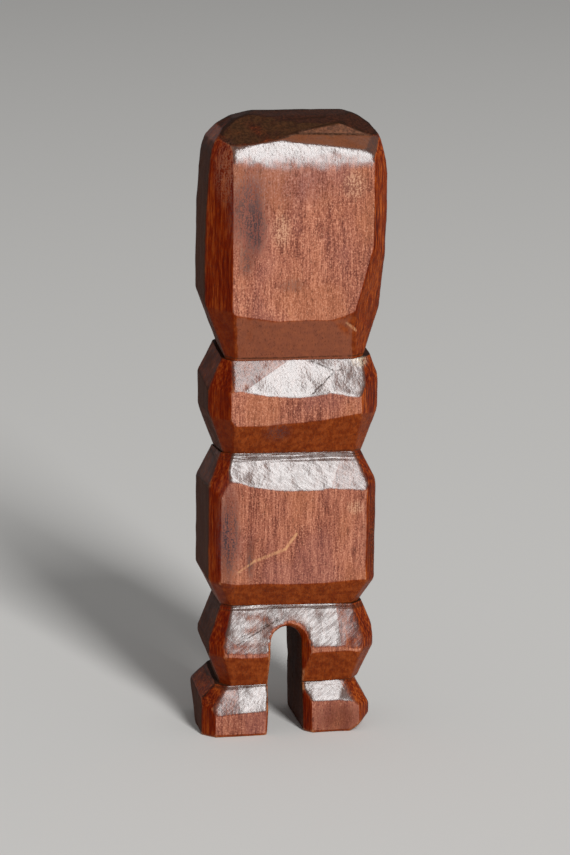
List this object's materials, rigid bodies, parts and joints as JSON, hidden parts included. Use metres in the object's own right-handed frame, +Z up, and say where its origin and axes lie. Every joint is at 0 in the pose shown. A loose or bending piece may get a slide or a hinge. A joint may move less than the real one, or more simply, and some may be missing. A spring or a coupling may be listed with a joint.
{
  "type": "wooden clothespin",
  "caption": "Hand-whittled one-piece hardwood clothespin: a tall faceted head, collar and trunk over two stubby legs with an arched slot that straddles a line.",
  "frame": {"origin": "bottom centre of the bounding box, on the ground between the two soles", "axes": "+Z up along the stick and its grain, -Y towards the front face, +X to the right seen from the front"},
  "size_m": [0.0336, 0.0192, 0.115],
  "materials": {
    "wood": "stained reddish brown under a worn clear lacquer"
  },
  "bodies": {
    "root": {"head_block": "wood", "collar_block": "wood", "trunk_block": "wood", "hip_block": "wood", "left_leg": "wood", "right_leg": "wood", "left_foot": "wood", "right_foot": "wood"}
  },
  "joints": []
}
